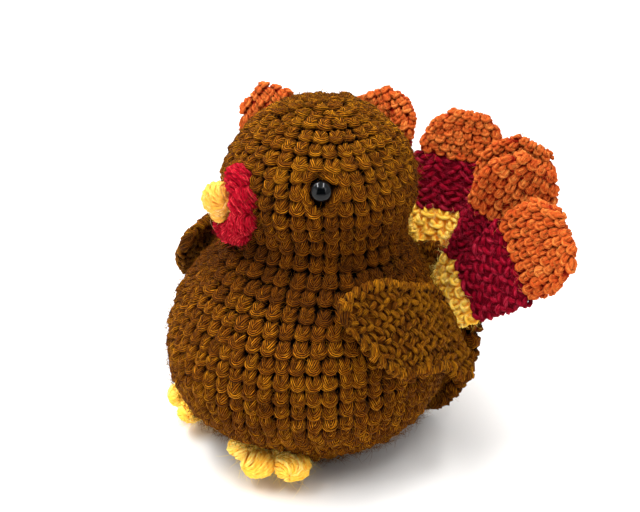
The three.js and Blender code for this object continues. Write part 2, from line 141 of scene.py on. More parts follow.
def makeYarn(name, holeShade, tones, grooveBrightness):
    material, tree = newMaterial(name)
    uv = addNode(tree, "UVMap", {"uv_map": "strand"})
    along = addNode(tree, "Mapping", Vector=uv.outputs["UV"],
                    Scale=(yarn["fibresAlong"], yarn["fibresRound"], 1))
    fibres = addNode(tree, "TexNoise", {"noise_dimensions": "3D"},
                     Vector=along.outputs["Vector"], Scale=1.0, Detail=3.0, Roughness=0.7)
    parts = addNode(tree, "SeparateXYZ", Vector=uv.outputs["UV"])
    turn = addMaths(tree, "MULTIPLY", parts.outputs["Y"], fullTurn * yarn["plies"])
    turn = addMaths(tree, "MULTIPLY_ADD", fibres.outputs["Fac"], yarn["wander"], turn)
    plies = addNode(tree, "MapRange", Value=addMaths(tree, "SINE", turn),
                    From_Min=yarn["lineFrom"], From_Max=yarn["lineTo"], To_Min=grooveBrightness, To_Max=1.0)
    place = addNode(tree, "TexCoord")
    patches = addNode(tree, "TexNoise", {"noise_dimensions": "3D"},
                      Vector=place.outputs["Object"], Scale=yarn["patchScale"], Detail=3.0)
    raised = addNode(tree, "Attribute", {"attribute_name": "raise"})
    tone = addNode(tree, "Attribute", {"attribute_name": "tone"})
    summed = addMaths(tree, "MULTIPLY_ADD", fibres.outputs["Fac"], yarn["fibreShare"], tone.outputs["Fac"])
    summed = addMaths(tree, "MULTIPLY_ADD", patches.outputs["Fac"], yarn["patchShare"], summed)
    ramp = setRamp(addNode(tree, "ValToRGB", Fac=summed),
                   [(stop, linear(tone)) for stop, tone in zip(yarn["stops"], tones)])
    # Painted shade: a low raise, down in the holes, fades the colour to the painted shade colour, and the
    # ply grooves darken it further.
    hollow = addNode(tree, "MapRange", {"interpolation_type": "SMOOTHSTEP"},
                     Value=raised.outputs["Fac"], From_Min=yarn["hollowFrom"], From_Max=yarn["hollowTo"])
    shadeMix = addMaths(tree, "MULTIPLY", hollow.outputs["Result"], plies.outputs["Result"])
    shaded = addNode(tree, "Mix", {"data_type": "RGBA"}, i0=shadeMix, i6=linear(holeShade),
                     i7=ramp.outputs["Color"])
    bump = addNode(tree, "Bump", Height=plies.outputs["Result"], Strength=1.0,
                   Distance=yarn["lineDistance"])
    addSurface(tree, Base_Color=shaded.outputs["Result"], Roughness=yarn["roughness"],
               Normal=bump.outputs["Normal"], IOR=yarn["ior"], Specular_IOR_Level=yarn["specular"],
               Sheen_Weight=yarn["sheen"], Sheen_Roughness=yarn["sheenRoughness"],
               Sheen_Tint=linear(tones[-1]))
    return material


# Each yarn gives its painted shade colour for the holes, its three tones and how bright the painted
# shade in its ply grooves stays. Dark yarn shows that painted shade most. Light yarn lets light through,
# which fills it.
brownYarn = makeYarn("brownAcrylicYarn", "#070200", ("#572b00", "#834500", "#be780a"), 0.02)
orangeYarn = makeYarn("orangeAcrylicYarn", "#8a180a", ("#b64614", "#d06627", "#ec9545"), 0.4)
darkRedYarn = makeYarn("darkRedAcrylicYarn", "#4c000c", ("#720010", "#90001e", "#b42a40"), 0.6)
goldYarn = makeYarn("goldAcrylicYarn", "#fca028", ("#ffbf3a", "#ffd34a", "#ffec88"), 0.85)
yellowYarn = makeYarn("yellowAcrylicYarn", "#ffa42c", ("#ffc240", "#ffd656", "#ffec88"), 0.85)
# The beak and the feet are one yellow yarn, drawn as two copies: the beak's is paler and less saturated,
# painted light where the lamps strike it hard.
beakLitYellowYarn = makeYarn("yellowAcrylicYarnPaintedLit", "#ea9830", ("#f4b044", "#f8c65c", "#fce4a4"), 0.55)
scarletYarn = makeYarn("scarletAcrylicYarn", "#600008", ("#9c0018", "#c80428", "#f63c46"), 0.25)
print("yarns made")


def unit(v):
    return v / np.maximum(np.linalg.norm(v, axis=-1, keepdims=True), 1e-9)


# Adds up ways in space, each taken as far as its amount says.
def going(*pairs):
    return sum(way * np.asarray(far)[..., None] for way, far in pairs)


# A smooth curve through the values, as count points.
def catmull(values, count):
    values = np.asarray(values, float)
    last = len(values) - 1
    at = np.linspace(0, last, count)
    i = np.minimum(at.astype(int), last - 1)
    t = (at - i)[:, None] if values.ndim > 1 else at - i
    a, b, c, d = (values[np.clip(i + k, 0, last)] for k in (-1, 0, 1, 2))
    squared, cubed = 2 * a - 5 * b + 4 * c - d, 3 * b - a - 3 * c + d
    return 0.5 * (2 * b + (c - a) * t + squared * t ** 2 + cubed * t ** 3)


# Four-sided faces between rings of points. Each row of starts is where a ring's numbers begin.
def ringQuads(starts, sides):
    j = np.arange(sides)
    beyond = starts + sides
    nextJ = (j + 1) % sides
    return np.stack([starts + j, beyond + j, beyond + nextJ, starts + nextJ], axis=-1).reshape(-1, 4)


# What would be under the surface it sits on is pressed flat just above it, from this height in mm.
flatBelow = 0.5


# Collects strands of yarn and turns them into one mesh.
class Skein:
    def __init__(self):
        self.points, self.quads, self.caps, self.quadUv, self.raised, self.tones = [], [], [], [], [], []
        self.count = 0

    # paths and normals are (strands, steps, 3) in mm, radii (strands, steps) or a number.
    def strands(self, paths, normals, radii, raised, tones, sides, lobes=0, crease=0.0,
                twist=0.0, phase=0.0, finer=1.0):
        n, k, _ = paths.shape
        tangent = unit(np.gradient(paths, axis=1))
        side = unit(np.cross(tangent, normals))
        up = np.cross(side, tangent)
        steps = np.linalg.norm(np.diff(paths, axis=1), axis=2)
        length = np.concatenate([np.zeros((n, 1)), np.cumsum(steps, axis=1)], axis=1)
        theta = fullTurn * np.arange(sides) / sides
        lobe = 1 - crease * 0.5 * (1 + np.cos(lobes * theta))
        angle = theta + (np.reshape(phase, (-1, 1)) + twist * length)[:, :, None]
        reach = np.broadcast_to(np.asarray(radii, float), (n, k))[:, :, None] * lobe
        offset = going((up[:, :, None], reach * np.cos(angle)), (side[:, :, None], reach * np.sin(angle)))
        self.points.append((paths[:, :, None] + offset).reshape(-1, 3))
        # The raise attribute, which the yarn turns into painted shade: lower on the side of the strand that
        # faces into the fabric and in the creases between plies.
        high = np.broadcast_to(raised, (n, k))[:, :, None] + 0.4 * reach * np.cos(angle) - 1.6 * (1 - lobe)
        self.raised.append(high.reshape(-1))
        self.tones.append(np.repeat(tones, k * sides))
        start = self.count + (np.arange(n) * k * sides)[:, None, None]
        self.quads.append(ringQuads(start + (np.arange(k - 1) * sides)[:, None], sides))
        # Every strand starts at its own place in the fibre pattern.
        shift = np.random.default_rng(self.count + 5).random(n)[:, None, None] * 40
        u = np.broadcast_to(length[:, :, None], (n, k, sides)) + shift
        ring = np.arange(sides)
        v, beyond = (np.broadcast_to(finer * (ring + i) / sides, (n, k - 1, sides)) for i in (0, 1))
        corners = ((u[:, :-1], v), (u[:, 1:], v), (u[:, 1:], beyond), (u[:, :-1], beyond))
        self.quadUv.append(np.stack([np.stack(c, axis=-1) for c in corners], axis=-2).reshape(-1, 2))
        self.caps += [start[:, 0] + ring, start[:, 0] + (k - 1) * sides + ring[::-1]]
        self.count += n * k * sides

    # A closed shell from a grid of points, rows along it and columns round it.
    def shell(self, grid, raised):
        rows, cols, _ = grid.shape
        self.points.append(grid.reshape(-1, 3))
        self.raised.append(np.full(rows * cols, raised))
        self.tones.append(np.zeros(rows * cols))
        self.quads.append(ringQuads(self.count + (np.arange(rows - 1) * cols)[:, None], cols))
        self.quadUv.append(np.zeros((self.quads[-1].size, 2)))
        ring = np.arange(cols)[None, :]
        self.caps += [self.count + ring, self.count + (rows - 1) * cols + ring[:, ::-1]]
        self.count += rows * cols

    # A shell under the stitches of a surface, so that nothing shows through. Its raise sets its painted
    # shade: a low one shows the yarn's nearly black painted shade colour.
    def lining(self, at, facets, along, depth, raised):
        u = np.broadcast_to(np.arange(facets) / facets, (len(along), facets))
        points, normals = at(u, np.broadcast_to(along[:, None], u.shape))
        self.shell(points - normals * depth, raised)

    def piece(self, name, material, slot, body, node):
        points = np.concatenate(self.points)
        low = points[:, 2] < flatBelow
        points[low, 2] = flatBelow * np.exp(points[low, 2] / flatBelow - 1)
        quads = np.concatenate(self.quads)
        capLoops = np.concatenate([c.reshape(-1) for c in self.caps])
        capSizes = np.concatenate([np.full(len(c), c.shape[1]) for c in self.caps])
        loops = np.concatenate([quads.reshape(-1), capLoops]).astype(np.int32)
        totals = np.concatenate([np.full(len(quads), 4), capSizes]).astype(np.int32)
        starts = np.concatenate([[0], np.cumsum(totals)[:-1]]).astype(np.int32)
        mesh = bpy.data.meshes.new(name)
        mesh.vertices.add(len(points))
        mesh.vertices.foreach_set("co", (points * metre).reshape(-1).astype(np.float32))
        mesh.loops.add(len(loops))
        mesh.loops.foreach_set("vertex_index", loops)
        mesh.polygons.add(len(totals))
        mesh.polygons.foreach_set("loop_start", starts)
        mesh.polygons.foreach_set("loop_total", totals)
        mesh.polygons.foreach_set("use_smooth", np.ones(len(totals), bool))
        layer = mesh.uv_layers.new(name="strand")
        uv = np.concatenate(self.quadUv + [np.zeros((len(capLoops), 2))])
        layer.data.foreach_set("uv", uv.reshape(-1).astype(np.float32))
        for label, values in (("raise", self.raised), ("tone", self.tones)):
            attribute = mesh.attributes.new(label, "FLOAT", "POINT")
            attribute.data.foreach_set("value", np.concatenate(values).astype(np.float32))
        mesh.update(calc_edges=True)
        mesh.validate()
        mesh.materials.append(material)
        made = addObject(name, mesh)
        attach(made, body)
        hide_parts(node)
        print(name, int((totals - 2).sum()), "triangles")
        return made


# Stitches, as seen on the right side of the fabric. A plain one is single crochet: two legs that
# lean together over a loop that hangs in a U. A basket one is a strand that lies slantwise.
# Across is in stitch widths, up in stitch heights, out in mm. Each strand is its points, how thick
# it is there and how far its plies turn in a mm.
stitch = {
    "width": 4.72, "headWidth": 4.3, "bodyHeight": 4.5, "headHeight": 4.45, "yarnRadius": 1.0,
    "lean": 0.07, "ridges": 5, "sides": 10, "crease": 0.2, "steps": {5: 6, 7: 9},
    "plain": [
        ([(-0.2, 0.64, -1.1), (-0.2, 0.43, 0.15), (-0.16, 0.18, 0.72), (-0.08, -0.05, 0.55),
          (0.04, -0.24, -0.6)], [0.85, 1.15, 1.25, 1.1, 0.75], 0.6),
        ([(0.2, 0.6, -1.1), (0.22, 0.4, 0.1), (0.21, 0.16, 0.6), (0.14, -0.05, 0.3), (0.05, -0.22, -0.9)],
         [0.85, 1.1, 1.18, 1.0, 0.7], -0.4),
        ([(-0.42, 0.2, -1.2), (-0.38, -0.02, 0.05), (-0.22, -0.2, 0.6), (0, -0.27, 0.8), (0.22, -0.2, 0.6),
          (0.38, -0.02, 0.05), (0.42, 0.2, -1.2)], [0.8, 1.0, 1.15, 1.2, 1.15, 1.0, 0.8], 0.2),
    ],
    "basket": [
        ([(-0.62, 0.08, -1.1), (-0.34, -0.02, 0.2), (0.0, -0.06, 0.55), (0.34, -0.02, 0.2),
          (0.62, 0.08, -1.1)], [1.1, 1.65, 1.75, 1.65, 1.1], 0.25),
    ],
}
# How much one stitch, or one strand of it, differs from the next.
uneven = {
    "roll": 0.1, "slide": 0.04, "tone": 0.035, "lift": 0.14, "thick": 0.05, "across": 0.08, "up": 0.06,
    "aside": 0.1, "strandLift": 0.14, "strandTone": 0.03, "twist": 0.25, "phase": 6.28,
}


# Works stitches on a surface. at(u, v) gives points and normals; u0 and v0 are the middles of
# the stitches and du and dv their width and height in the surface's own coordinates.
# tint makes a stitch's tone lighter or darker: painted light or painted shade.
def workStitches(skein, at, u0, v0, du, dv, widths, heights, seed, yarnScale, sunk,
                 style="plain", rolls=0.0, unruly=1.0, tint=0.0, finer=1.0):
    rng = np.random.default_rng(seed)
    places = np.broadcast_arrays(u0, v0, du, dv, widths, heights)
    u0, v0, du, dv, widths, heights = (place[:, None] for place in places)
    n = len(u0)
    roll = (rolls + rng.normal(0, uneven["roll"] * unruly, n))[:, None]
    slideU, slideV = (rng.normal(0, uneven["slide"] * unruly, n)[:, None] for _ in range(2))
    tones = tint + rng.normal(0, uneven["tone"], n)
    lifts = rng.normal(0, uneven["lift"] * unruly, n)[:, None]
    fit = np.minimum(1, widths / (stitch["width"] * yarnScale)) * yarnScale
    thick = fit * stitch["yarnRadius"] * rng.normal(1, uneven["thick"], n)[:, None]

    # A measure in stitches, as mm.
    def inMm(shares, size, share):
        return shares * size * rng.normal(1, share, (n, 1)) + rng.normal(0, uneven["aside"], (n, 1))

    for template, thickness, twist in stitch[style]:
        steps = stitch["steps"][len(template)]
        form = catmull(template, steps)
        across = inMm(form[:, 0], widths, uneven["across"])
        up = inMm(form[:, 1], heights, uneven["up"])
        turned = across * np.cos(roll) - up * np.sin(roll)
        raised = across * np.sin(roll) + up * np.cos(roll)
        u, v = u0 + (turned / widths + slideU) * du, v0 + (raised / heights + slideV) * dv
        points, normals = at(u, v)
        out = form[:, 2] + lifts + rng.normal(0, uneven["strandLift"], (n, 1))
        paths = points + going((normals, out * yarnScale - sunk))
        # Strands that lie deeper in the fabric get a lower raise, and so more painted shade.
        skein.strands(paths, normals, thick * catmull(thickness, steps), (out + 1.0) / 2.3,
                      tones + rng.normal(0, uneven["strandTone"], n), stitch["sides"], stitch["ridges"],
                      stitch["crease"], twist * rng.normal(1, uneven["twist"]),
                      rng.random(n) * uneven["phase"], finer)


# Loose fibres that stand off the yarn, in mm. Real ones are 0.02 mm across, too fine to show.
fuzz = {
    "perMm": 0.45, "lengths": (1.2, 3.2), "thick": 0.042, "taper": [1, 1, 0.8, 0.3], "start": 0.4,
    # The raise and tones below put loose fibres at the yarn's light end with no painted shade: a painted
    # glow standing in for the light that shines through loose fibres at the edges.
    "rise": (0.2, 0.95), "bow": (1.6, -0.5), "curl": 0.8, "turnAside": 0.5, "raised": 1.2,
    "tones": (0.7, 1.2),
}


def addFuzz(skein, at, span, count, seed, longer=1.0, share=None):
    rng = np.random.default_rng(seed + 7000)
    u, v = rng.uniform(0, 1, count), rng.uniform(*span, count)
    if share:
        kept = rng.random(count) < share(v)
        u, v, count = u[kept], v[kept], int(kept.sum())
    start, normal = at(u, v)
    side = unit(np.cross(normal, rng.normal(size=(count, 3))))
    bend = unit(np.cross(normal, side) + fuzz["turnAside"] * rng.normal(size=(count, 3)))
    length = rng.uniform(*fuzz["lengths"], count) * longer * rng.uniform(0.5, 1, count)
    rise = rng.uniform(*fuzz["rise"], (count, 1, 1))
    curl = rng.normal(0, fuzz["curl"], (count, 1, 1))
    t = np.linspace(0, 1, len(fuzz["taper"]))[None, :, None]
    start, normal, side, bend = (way[:, None, :] for way in (start, normal, side, bend))
    path = side * t + normal * rise * (fuzz["bow"][0] * t + fuzz["bow"][1] * t ** 2) + bend * curl * t ** 2
    paths = start + normal * fuzz["start"] + path * length[:, None, None]
    skein.strands(paths, np.broadcast_to(bend, paths.shape), fuzz["thick"] * np.array(fuzz["taper"]),
                  fuzz["raised"], rng.uniform(*fuzz["tones"], count), 3)


# The body and the head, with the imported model's rings.
figure = {
    "height": 109, "bodyRadius": 40.6, "headRadius": 27.2, "headBackset": 6, "neckShare": 0.665,
    "bodyHeights": [0, 0, 0.011, 0.046, 0.101, 0.166, 0.23, 0.295, 0.368, 0.442, 0.506, 0.562, 0.608,
                    0.645],
    "bodyRadii": [0, 0.25, 0.33, 0.5, 0.712, 0.87, 0.96, 0.997, 0.993, 0.944, 0.866, 0.769, 0.676, 0.623],
    "bodyBacksets": [-0.15, -0.15, -0.15, -0.15, -0.14, -0.12, -0.09, -0.03, 0.05, 0.17, 0.34, 0.55,
                     0.75, 0.88],
    "headHeights": [0.681, 0.718, 0.764, 0.81, 0.866, 0.916, 0.958, 0.985, 1],
    "headRadii": [0.92, 0.962, 1, 0.986, 0.91, 0.775, 0.587, 0.37, 0.04],
    "headBacksets": [0.95, 0.98, 1, 1, 1, 1, 1, 1, 1],
    # Waves of the surface: mm, how many go round, how they turn for each mm up, and their start.
    "waves": [(0.3, 3, 0.11, 0.0), (0.25, 5, -0.17, 1.3)], "calmRadius": 15, "inset": 0.2,
    # Soft forms: mm in or out, middle and span in mm up, and the part of a turn that each faces.
    "gathered": (2.8, 27, 16, 0.42), "fuller": (3.2, 42, 16, 0.07), "cheek": (1.0, 86, 15, 0.59),
    "gatheredRise": 0.4, "poleMargin": 0.4,
}


def figureProfile():
    heights = np.array(figure["bodyHeights"] + figure["headHeights"]) * figure["height"]
    radii = np.concatenate([np.array(figure[part + "Radii"]) * figure[part + "Radius"]
                            for part in ("body", "head")])
    backs = np.array(figure["bodyBacksets"] + figure["headBacksets"]) * figure["headBackset"]
    rows = catmull(np.stack([radii, heights, backs], axis=1), 900)
    rows[:, 0] = np.maximum(rows[:, 0], 0.0)
    steps = np.hypot(np.diff(rows[:, 0]), np.diff(rows[:, 1]))
    return rows, np.concatenate([[0], np.cumsum(steps)])


profile, profileLength = figureProfile()
profileSlope = unit(np.stack([np.gradient(profile[:, 0]), np.gradient(profile[:, 1])], axis=1))


def radiusAt(v):
    return np.interp(v, profileLength, profile[:, 0])


# A place on the head, bearing degrees to the figure's left of straight ahead.
face = {"turn": -9, "middle": 81.597}


def headFrame(bearing, elevation):
    heights = np.array(figure["headHeights"]) * figure["height"]
    radii = np.array(figure["headRadii"]) * figure["headRadius"]
    b, e = math.radians(bearing + face["turn"]), math.radians(elevation)
    reach = figure["headRadius"]
    for _ in range(20):
        reach = np.interp(face["middle"] + reach * math.sin(e), heights, radii) / math.cos(e)
    out = np.array([math.sin(b) * math.cos(e), -math.cos(b) * math.cos(e), math.sin(e)])
    side = np.array([math.cos(b), math.sin(b), 0.0])
    up = -np.cross(out, side)
    centre = np.array([0.0, figure["headBackset"], face["middle"]])
    return centre + out * reach, out, side, up


# Safety eyes, and the dimple round each: the stitches part, and the eye's washer pulls them in.
eye = {"radius": 3, "rise": 2.4, "rim": 0.5, "bearing": 66, "elevation": 22, "recess": 1.1}
dimple = {"hole": 3.15, "reach": 7.0, "pull": 1.5, "falloff": 1.5, "deepest": 12}


def partRoundEyes(points):
    for side in (1, -1):
        origin, out, _, _ = headFrame(side * eye["bearing"], eye["elevation"])
        offset = points - origin
        along = offset @ out
        flat = offset - going((out, along))
        away = np.linalg.norm(flat, axis=-1)
        outer = along > -dimple["deepest"]
        pull = dimple["pull"] * np.clip(1 - away / dimple["reach"], 0, 1) ** dimple["falloff"] * outer
        moved = dimple["hole"] + away * (dimple["reach"] - dimple["hole"]) / dimple["reach"]
        scale = np.where((away < dimple["reach"]) & outer, moved / np.maximum(away, 1e-6), 1.0)
        points = points + going((flat, scale - 1), (out, -pull))
    return points


# How much of a soft form there is: all of it at its middle, on the side that it faces.
def softForm(along, turn, size, middle, span, facing):
    around = np.maximum(0, np.cos(turn - fullTurn * facing)) ** 2
    return size * np.exp(-((along - middle) / span) ** 2) * around


# u goes once round, from the back by the figure's left side, and v is mm up the profile.
def onFigure(u, v):
    v = np.clip(v, figure["poleMargin"], profileLength[-1] - figure["poleMargin"])
    radius, height, back = (np.interp(v, profileLength, profile[:, i]) for i in range(3))
    outward = np.interp(v, profileLength, profileSlope[:, 1])
    upward = -np.interp(v, profileLength, profileSlope[:, 0])
    turn = fullTurn * u
    east, north = np.sin(turn), np.cos(turn)
    waves = sum(size * np.sin(number * turn + rate * v + phase)
                for size, number, rate, phase in figure["waves"])
    gathered = softForm(v, turn, *figure["gathered"])
    swelling = softForm(v, turn, *figure["fuller"]) + softForm(height, turn, *figure["cheek"]) - gathered
    reach = radius + waves * np.clip(radius / figure["calmRadius"], 0, 1) - figure["inset"] + swelling
    raised = height + figure["gatheredRise"] * gathered
    points = np.stack([reach * east, back + reach * north, raised], axis=-1)
    return partRoundEyes(points), unit(np.stack([outward * east, outward * north, upward], axis=-1))


# The rounds are worked as five pieces. A piece ends at a number of rounds, given as a share of
# those on the body, and the painted shading goes with shares of the way up: painted shade darkens the
# neck, under the head, and painted light brightens the top of the head.
rounds = {
    "mostBody": 54, "mostHead": 36, "leastWidths": ([4, 14], [1.6, 4.5]), "bodySunk": 1.55, "headSunk": 1.1,
    "names": ["body_stitches_lower", "body_stitches_middle", "body_stitches_upper", "head_stitches_lower",
              "head_stitches_upper"],
    "ends": [0.42, 0.68, 0.999, 1.35],
    "paintedShadingByHeight": ([0, 0.5, 0.62, 0.7, 0.82], [0.0, 0.02, -0.16, -0.06, 0.05]),
    "shellDepth": 3.0, "shellRows": 24, "shellFacets": 48, "shellRaised": -0.2, "fuzzRound": 250,
}


def workFigure():
    top = profileLength[-1]
    neck = np.interp(figure["neckShare"] * figure["height"], profile[:, 1], profileLength)
    onBody, onHead = round(neck / stitch["bodyHeight"]), round((top - neck) / stitch["headHeight"])
    edges = np.concatenate([np.linspace(0, neck, onBody + 1), np.linspace(neck, top, onHead + 1)[1:]])
    lean = 0.0
    parts, spans = {}, {}
    for index, (low, high) in enumerate(zip(edges[:-1], edges[1:])):
        if index < onBody:
            most, width, sunk = rounds["mostBody"], stitch["width"], rounds["bodySunk"]
        else:
            most, width, sunk = rounds["mostHead"], stitch["headWidth"], rounds["headSunk"]
        middle = (low + high) / 2
        # A figure is increased and decreased by six stitches in a round.
        count = min(most, 6 * max(1, round(fullTurn * radiusAt(middle) / width / 6)))
        lean += stitch["lean"] / count
        along = (np.arange(count) + 0.5) / count
        v = middle + (high - low) * (along - 0.5)
        radius = radiusAt(v)
        widths = np.maximum(fullTurn * radius / count, np.interp(radius, *rounds["leastWidths"]))
        name = rounds["names"][sum(index / onBody > np.array(rounds["ends"]))]
        spans.setdefault(name, [low, high])[1] = high
        workStitches(parts.setdefault(name, Skein()), onFigure, along + lean, v, 1 / count, high - low,
                     widths, high - low, 100 + index, 1.0, sunk,
                     tint=np.interp(middle / top, *rounds["paintedShadingByHeight"]))
    for name, (low, high) in spans.items():
        skein = parts[name]
        fibres = int(fuzz["perMm"] * (high - low) * rounds["fuzzRound"])
        addFuzz(skein, onFigure, (low + 0.5, high - 0.5), fibres, len(name),
                share=lambda v: radiusAt(v) / figure["bodyRadius"])
        v = np.linspace(max(low, 1.0), min(high, top - 1.0), rounds["shellRows"])
        skein.lining(onFigure, rounds["shellFacets"], v, rounds["shellDepth"], rounds["shellRaised"])
        cover = "head_cover" if name.startswith("head") else "body_cover"
        skein.piece(name, brownYarn, "brown_yarn", "figure", cover)


workFigure()
print("body and head worked")


# A strip of points made round an axis: profile rows are (radius, distance along the axis).
def turnedGrid(origin, axis, side, up, rows, facets):
    angle = fullTurn * np.arange(facets) / facets
    ring = going((side, np.cos(angle)), (up, np.sin(angle)))
    return np.stack([origin + axis * along + ring * radius for radius, along in rows])


# Once round a flat piece of two layers with rounded edges: how far across and out of its middle
# each place is, and which way it faces.
def aroundFlat(u, halfWidth, halfThick):
    flat, radius = np.maximum(halfWidth - halfThick, 0.0), np.minimum(halfThick, halfWidth)
    cap, safe = math.pi * radius, np.maximum(radius, 1e-6)
    t = (u % 1.0) * (4 * flat + 2 * cap)
    middle = -flat + np.clip(t, 0, 2 * flat) - np.clip(t - 2 * flat - cap, 0, 2 * flat)
    turn = (math.pi / 2 - np.clip((t - 2 * flat) / safe, 0, math.pi)
            - np.clip((t - 4 * flat - cap) / safe, 0, math.pi))
    return middle + radius * np.cos(turn), radius * np.sin(turn), np.cos(turn), np.sin(turn)


# A bobble: strands of yarn that leave one pole, swell and meet at the other. Its ways point along
# its poles, across and out, and its halves are half its size along each.
bobbleForm = {
    "roundness": 2.4, "inset": 0.75, "sides": 8, "ridges": 4, "crease": 0.25, "twist": 0.4, "raised": 0.62,
    "taper": [0.55, 0.8, 0.95, 1.05, 1.1, 1.05, 0.95, 0.8, 0.55], "wander": 0.12, "tone": 0.1, "fuzz": 3.2,
}


def bobble(skein, centre, ways, halves, strands, thick, seed, twist=0.5):
    rng = np.random.default_rng(seed)
    pole, wide, outer = ways
    halfLength, halfWide, halfOut = halves
    form = bobbleForm
    taper = np.array(form["taper"])
    angle = fullTurn * (np.arange(strands) + rng.normal(0, form["wander"], strands)) / strands
    t = np.sin(np.linspace(-1.5, 1.5, len(taper)))
    reach = np.sqrt(1 - np.abs(t) ** form["roundness"])
    spin = angle[:, None] + twist * t
    inset = thick * form["inset"]
    paths = centre + going((pole, t * (halfLength - inset * 0.5)),
                           (wide, np.cos(spin) * (halfWide - inset) * reach),
                           (outer, np.sin(spin) * (halfOut - inset) * reach))
    normals = unit(paths - centre)
    paths = paths + rng.normal(0, form["wander"], (strands, 1, 3))

    def at(u, v):
        turn, rise = fullTurn * u, np.sqrt(np.maximum(0, 1 - v ** 2))
        way = going((pole, v * halfLength), (wide, np.cos(turn) * rise * halfWide),
                    (outer, np.sin(turn) * rise * halfOut))
        return centre + way * 0.95, unit(way)

    addFuzz(skein, at, (-0.9, 0.9), int(halfLength * halfWide * form["fuzz"]), seed, 0.8)
    skein.strands(paths, normals, thick * taper * rng.normal(1, 0.1, (strands, 1)), form["raised"],
                  rng.normal(0, form["tone"], strands), form["sides"], form["ridges"], form["crease"],
                  form["twist"], rng.random(strands) * uneven["phase"])


# The tail: a disc sewn to the back, with seven feathers sewn in front of it.
tail = {
    "turn": 12, "lean": 12, "lift": 0.8, "discHalfWidth": 23.2, "discHalfHeight": 27.5, "discBack": 42.9,
    "length": 49, "rootLength": 9.5, "bandLength": 18.3, "endRoll": 1.9, "layer": 1.15, "edge": 1.0,
    "rootHalfWidth": 5.4, "rootEndHalfWidth": 7, "bandEndHalfWidth": 9.632, "tipHalfWidth": 12.6,
    "roundFrom": 0.4, "roundness": 2.4, "blend": 9, "carried": 0.4, "frontUnit": 2.1,
    "sewnIn": 3.0, "sunk": 0.35,
}
# From the figure's right side to its left: angle from upright, roll, where the root is on the
# disc, shares of the usual length, tip and width, how far root and tip stand in front, the
# share of the usual band and how far the feather is moved to the left.
feathers = [
    (-55.8, 5, 1.386, 1.08, 1.3, 1.08, 3.81, 3.81, 1, 0),
    (-43, 5, 0.98, 1.05, 0.95, 1, 1.43, 1.43, 1, 0),
    (-30.4, 5, 0.93, 1.1, 0.87, 1.16, -1.05, -1.24, 1, 0),
    (0.9, 36, 1, 0.886, 0.68, 0.966, -1.43, -4.29, 1.55, -3.2),
    (24.2, 32, 0.841, 0.99, 1.037, 0.952, 0.43, -0.29, 1, 0),
    (29.8, 34, 0.691, 1.035, 1.14, 1, 2.1, 2, 1, 0),
    (47.6, -4, 0.623, 1.16, 1.06, 1.12, 3.81, 4.38, 1.36, 0.4),
]
featherParts = [
    {"name": "root", "yarn": goldYarn, "slot": "gold_yarn", "style": "plain", "slants": (0.0, 0.0),
     "stitchWidth": 3.1, "rows": 4, "yarnScale": 0.8, "unruly": 1.0, "depth": 0.4, "raised": 0.3,
     "fuzz": 44},
    {"name": "band", "yarn": darkRedYarn, "slot": "dark_red_yarn", "style": "basket",
     "slants": (0.75, -0.7), "stitchWidth": 2.3, "rows": 10, "yarnScale": 0.62, "unruly": 1.5,
     "depth": 0.4, "raised": 0.3, "fuzz": 80},
    {"name": "tip", "yarn": orangeYarn, "slot": "orange_yarn", "style": "plain", "slants": (0.0, 0.0),
     "stitchWidth": 2.9, "rows": 7, "yarnScale": 0.86, "unruly": 1.5, "depth": 0.8, "raised": -0.2,
     "fuzz": 44},
]
bandEnd = tail["rootLength"] + tail["bandLength"]


def tailAxes():
    t, l = math.radians(tail["turn"]), math.radians(tail["lean"])
    across = np.array([math.cos(t), math.sin(t), 0.0])
    backward = np.array([-math.sin(t), math.cos(t), 0.0])
    up = np.array([0.0, 0.0, math.cos(l)]) + backward * math.sin(l)
    front = np.cross(across, up)
    centre = np.array([0.0, tail["discBack"], tail["discHalfHeight"] * math.cos(l) + tail["lift"]])
    return centre, across, up, front


def featherHalfWidth(s):
    narrow, bandFrom, bandTo = tail["rootHalfWidth"], tail["rootEndHalfWidth"], tail["bandEndHalfWidth"]
    root = narrow + (bandFrom - narrow) * s / tail["rootLength"]
    band = bandFrom + (bandTo - bandFrom) * (s - tail["rootLength"]) / tail["bandLength"]
    q = np.clip((s - bandEnd) / (tail["length"] - bandEnd), 0, 1)
    swell = np.minimum(1, q / tail["roundFrom"])
    narrowing = (q - tail["roundFrom"]) / (1 - tail["roundFrom"])
    tip = bandTo + (tail["tipHalfWidth"] - bandTo) * (1 - (1 - swell) ** 2)
    tip = tip * np.sqrt(np.maximum(0, 1 - np.clip(narrowing, 0, 1) ** tail["roundness"]))
    return np.where(s < tail["rootLength"], root, np.where(s < bandEnd, band, tip))


